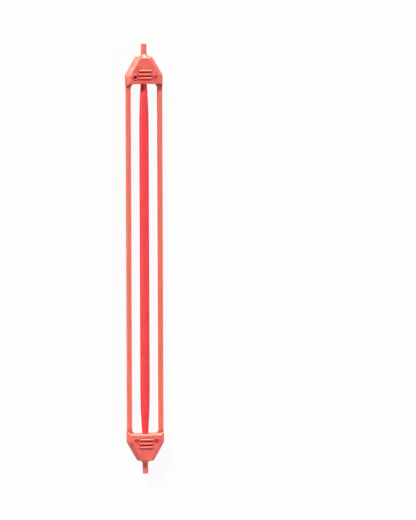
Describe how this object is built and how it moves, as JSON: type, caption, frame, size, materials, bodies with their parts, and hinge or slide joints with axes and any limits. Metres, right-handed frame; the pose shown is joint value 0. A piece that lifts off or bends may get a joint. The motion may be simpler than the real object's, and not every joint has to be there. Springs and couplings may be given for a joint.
{
  "type": "double-ended stitch holder",
  "caption": "Slim moulded frame with two bevelled heads and a double-pointed needle held between sprung sockets, which keeps open knitting stitches and lets them off at either end.",
  "frame": {"origin": "centre of the holder's box at the bottom: in the middle between the ends and the sides, on the plane of the two heads' backs", "axes": "+Y along the needle towards the upper end, +X to the right seen from the front, +Z out of the ribbed front towards the viewer"},
  "size_m": [0.017, 0.2, 0.0082],
  "materials": {
    "frame_plastic": "semi-matte moulded coral plastic with small rounded edges",
    "needle_plastic": "smooth semi-matte pinkish red plastic",
    "spring_steel": "bright drawn wire"
  },
  "bodies": {
    "frame": {"frame": "frame_plastic", "upper_plug": "frame_plastic", "lower_plug": "frame_plastic", "upper_spring": "spring_steel", "lower_spring": "spring_steel"},
    "needle": {"needle": "needle_plastic"}
  },
  "joints": [
    {"name": "needle_slide", "type": "slide", "parent": "frame", "child": "needle", "axis": [0, 1, 0], "range_m": [-0.0063, 0.0063], "stiffness_N_per_m": 760, "deforming": ["upper_spring", "lower_spring"]}
  ]
}
